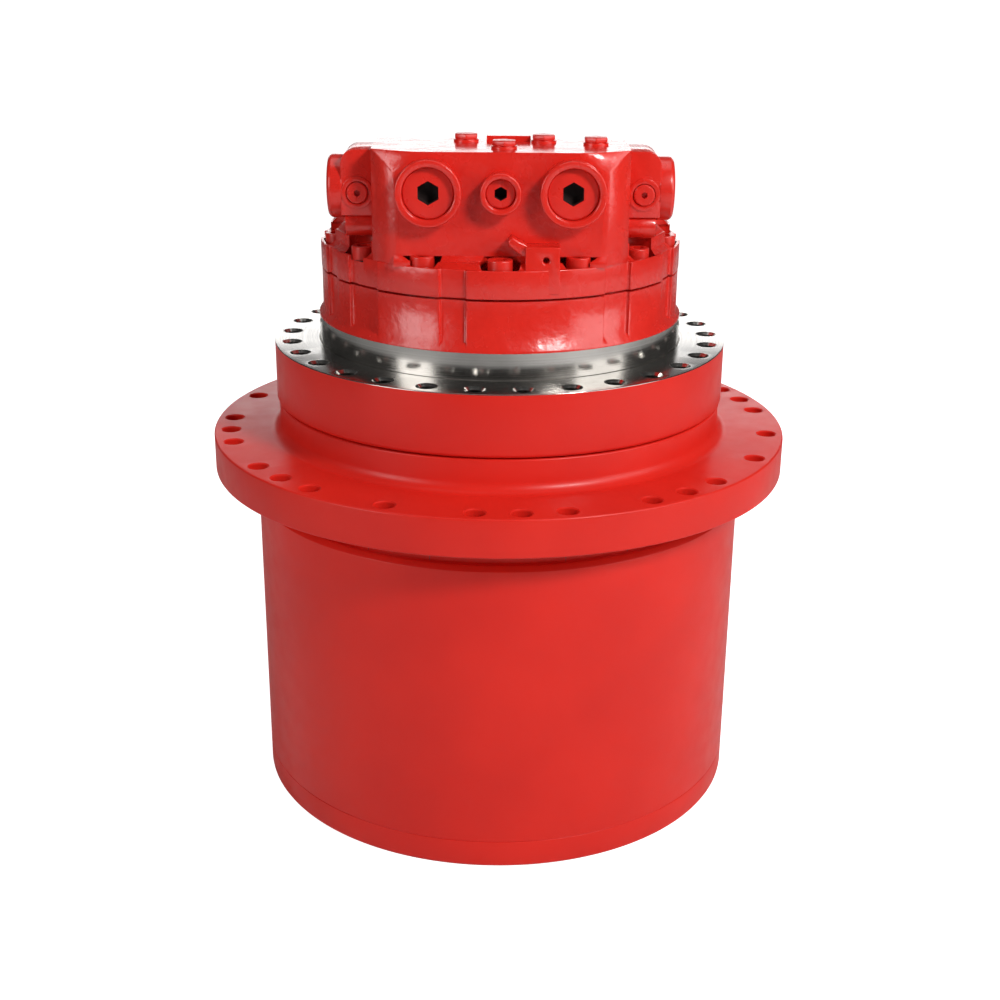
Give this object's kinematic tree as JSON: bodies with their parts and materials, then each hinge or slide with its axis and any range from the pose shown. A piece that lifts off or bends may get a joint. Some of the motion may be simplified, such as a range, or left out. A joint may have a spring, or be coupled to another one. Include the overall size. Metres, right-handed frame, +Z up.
{
  "type": "excavator final drive",
  "caption": "Planetary track drive with a rotating drum and sprocket flange, bolted frame ring, built-in piston motor, parking brake and valve block.",
  "frame": {"origin": "centre of the underside of the end cover, on the drive's axis", "axes": "+Z up the axis from the end cover to the motor; -Y towards the side with the large ports; +X to the right of someone facing the ports"},
  "size_m": [0.54, 0.54, 0.6284],
  "materials": {
    "red_paint": "gloss paint over cast and turned metal",
    "red_steel_casting": "gloss paint, the frame ring's top face and the pilot band left bare and machined",
    "machined_steel": "turned and ground",
    "gear_steel": "case-hardened, ground flanks",
    "dark_steel": "blackened",
    "cast_iron": "machined casting",
    "bronze": "fine turned",
    "seal_rubber": "matt",
    "friction_lining": "dull, sintered"
  },
  "bodies": {
    "motor_housing_body": {"motor_housing": "red_steel_casting", "main_bearing_inner_races": "machined_steel", "ring_nut": "dark_steel", "seal_ring_fixed": "machined_steel", "seal_rubber_fixed": "seal_rubber", "second_stage_carrier": "cast_iron", "carrier_screws": "dark_steel", "second_stage_pins": "machined_steel", "second_stage_washers": "bronze", "second_stage_needles": "machined_steel", "shaft_bearing_outer_rings": "machined_steel", "shaft_bearing_rollers": "machined_steel", "shaft_seal": "seal_rubber", "swash_pivots": "machined_steel", "brake_plates": "machined_steel", "brake_spring": "dark_steel", "valve_plate": "bronze", "rear_cover": "red_paint", "casing_screws": "red_paint", "main_port_plugs": "red_paint", "small_port_plugs": "red_paint", "top_plugs": "red_paint", "spool_caps": "red_paint", "spool_springs": "dark_steel", "relief_valves": "red_paint"},
    "rotating_housing": {"end_cover": "red_paint", "cover_screws": "red_paint", "oil_plugs": "red_paint", "cover_seal_ring": "seal_rubber", "ring_gear_drum": "red_paint", "housing_screws": "dark_steel", "sprocket_hub": "red_paint", "main_bearing_outer_races": "machined_steel", "seal_ring_rotating": "machined_steel", "seal_rubber_rotating": "seal_rubber"},
    "main_bearing_roller_set": {"main_bearing_rollers": "machined_steel"},
    "first_carrier": {"first_stage_carrier": "cast_iron", "second_stage_sun": "gear_steel", "first_stage_pins": "machined_steel", "first_stage_washers": "bronze", "first_stage_needles": "machined_steel"},
    "motor_rotor": {"first_stage_sun": "gear_steel", "motor_shaft": "machined_steel", "cylinder_block": "machined_steel", "pistons": "machined_steel", "piston_shoes": "bronze", "retainer_plate": "machined_steel", "friction_discs": "friction_lining", "shaft_bearing_inner_rings": "machined_steel"},
    "swash": {"swash_plate": "machined_steel"},
    "tilt_piston_body": {"tilt_piston": "machined_steel"},
    "brake_piston_body": {"brake_piston": "machined_steel"},
    "spool": {"counterbalance_spool": "machined_steel"},
    "first_planet_1": {"first_stage_planet_1": "gear_steel"},
    "first_planet_2": {"first_stage_planet_2": "gear_steel"},
    "first_planet_3": {"first_stage_planet_3": "gear_steel"},
    "second_planet_1": {"second_stage_planet_1": "gear_steel"},
    "second_planet_2": {"second_stage_planet_2": "gear_steel"},
    "second_planet_3": {"second_stage_planet_3": "gear_steel"},
    "second_planet_4": {"second_stage_planet_4": "gear_steel"}
  },
  "joints": [
    {"name": "housing_spin", "type": "hinge", "parent": "motor_housing_body", "child": "rotating_housing", "pos_m": [0, 0, 0.2], "axis": [0, 0, 1], "continuous": true},
    {"name": "bearing_rollers_spin", "type": "hinge", "parent": "motor_housing_body", "child": "main_bearing_roller_set", "pos_m": [0, 0, 0.3], "axis": [0, 0, 1], "continuous": true},
    {"name": "first_carrier_spin", "type": "hinge", "parent": "motor_housing_body", "child": "first_carrier", "pos_m": [0, 0, 0.1], "axis": [0, 0, 1], "continuous": true},
    {"name": "motor_spin", "type": "hinge", "parent": "motor_housing_body", "child": "motor_rotor", "pos_m": [0, 0, 0.3], "axis": [0, 0, 1], "continuous": true},
    {"name": "first_planet_1_spin", "type": "hinge", "parent": "first_carrier", "child": "first_planet_1", "pos_m": [0.10725, 0, 0.063], "axis": [0, 0, 1], "continuous": true},
    {"name": "first_planet_2_spin", "type": "hinge", "parent": "first_carrier", "child": "first_planet_2", "pos_m": [-0.05362, 0.09288, 0.063], "axis": [0, 0, 1], "continuous": true},
    {"name": "first_planet_3_spin", "type": "hinge", "parent": "first_carrier", "child": "first_planet_3", "pos_m": [-0.05362, -0.09288, 0.063], "axis": [0, 0, 1], "continuous": true},
    {"name": "second_planet_1_spin", "type": "hinge", "parent": "motor_housing_body", "child": "second_planet_1", "pos_m": [0.1155, 0, 0.157], "axis": [0, 0, 1], "continuous": true},
    {"name": "second_planet_2_spin", "type": "hinge", "parent": "motor_housing_body", "child": "second_planet_2", "pos_m": [0, 0.1155, 0.157], "axis": [0, 0, 1], "continuous": true},
    {"name": "second_planet_3_spin", "type": "hinge", "parent": "motor_housing_body", "child": "second_planet_3", "pos_m": [-0.1155, 0, 0.157], "axis": [0, 0, 1], "continuous": true},
    {"name": "second_planet_4_spin", "type": "hinge", "parent": "motor_housing_body", "child": "second_planet_4", "pos_m": [0, -0.1155, 0.157], "axis": [0, 0, 1], "continuous": true},
    {"name": "swash_tilt", "type": "hinge", "parent": "motor_housing_body", "child": "swash", "pos_m": [0, 0, 0.28], "axis": [1, 0, 0], "range_deg": [-7, 0]},
    {"name": "tilt_piston_slide", "type": "slide", "parent": "motor_housing_body", "child": "tilt_piston_body", "axis": [0, 0, 1], "range_m": [0, 0.0085]},
    {"name": "brake_piston_lift", "type": "slide", "parent": "motor_housing_body", "child": "brake_piston_body", "axis": [0, 0, 1], "range_m": [0, 0.0025], "stiffness_N_per_m": 50000, "springref_m": -0.002, "deforming": ["brake_spring"]},
    {"name": "spool_slide", "type": "slide", "parent": "motor_housing_body", "child": "spool", "axis": [1, 0, 0], "range_m": [-0.007, 0.007], "stiffness_N_per_m": 15000, "deforming": ["spool_springs"]}
  ],
  "couplings": [
    {"joint": "bearing_rollers_spin", "follows": "housing_spin", "ratio": 0.5317},
    {"joint": "first_carrier_spin", "follows": "housing_spin", "ratio": -3.6667},
    {"joint": "motor_spin", "follows": "housing_spin", "ratio": -29.333},
    {"joint": "first_planet_1_spin", "follows": "housing_spin", "ratio": 11.407},
    {"joint": "first_planet_2_spin", "follows": "housing_spin", "ratio": 11.407},
    {"joint": "first_planet_3_spin", "follows": "housing_spin", "ratio": 11.407},
    {"joint": "second_planet_1_spin", "follows": "housing_spin", "ratio": 2.75},
    {"joint": "second_planet_2_spin", "follows": "housing_spin", "ratio": 2.75},
    {"joint": "second_planet_3_spin", "follows": "housing_spin", "ratio": 2.75},
    {"joint": "second_planet_4_spin", "follows": "housing_spin", "ratio": 2.75},
    {"joint": "tilt_piston_slide", "follows": "swash_tilt", "m_per_rad": -0.066635}
  ]
}
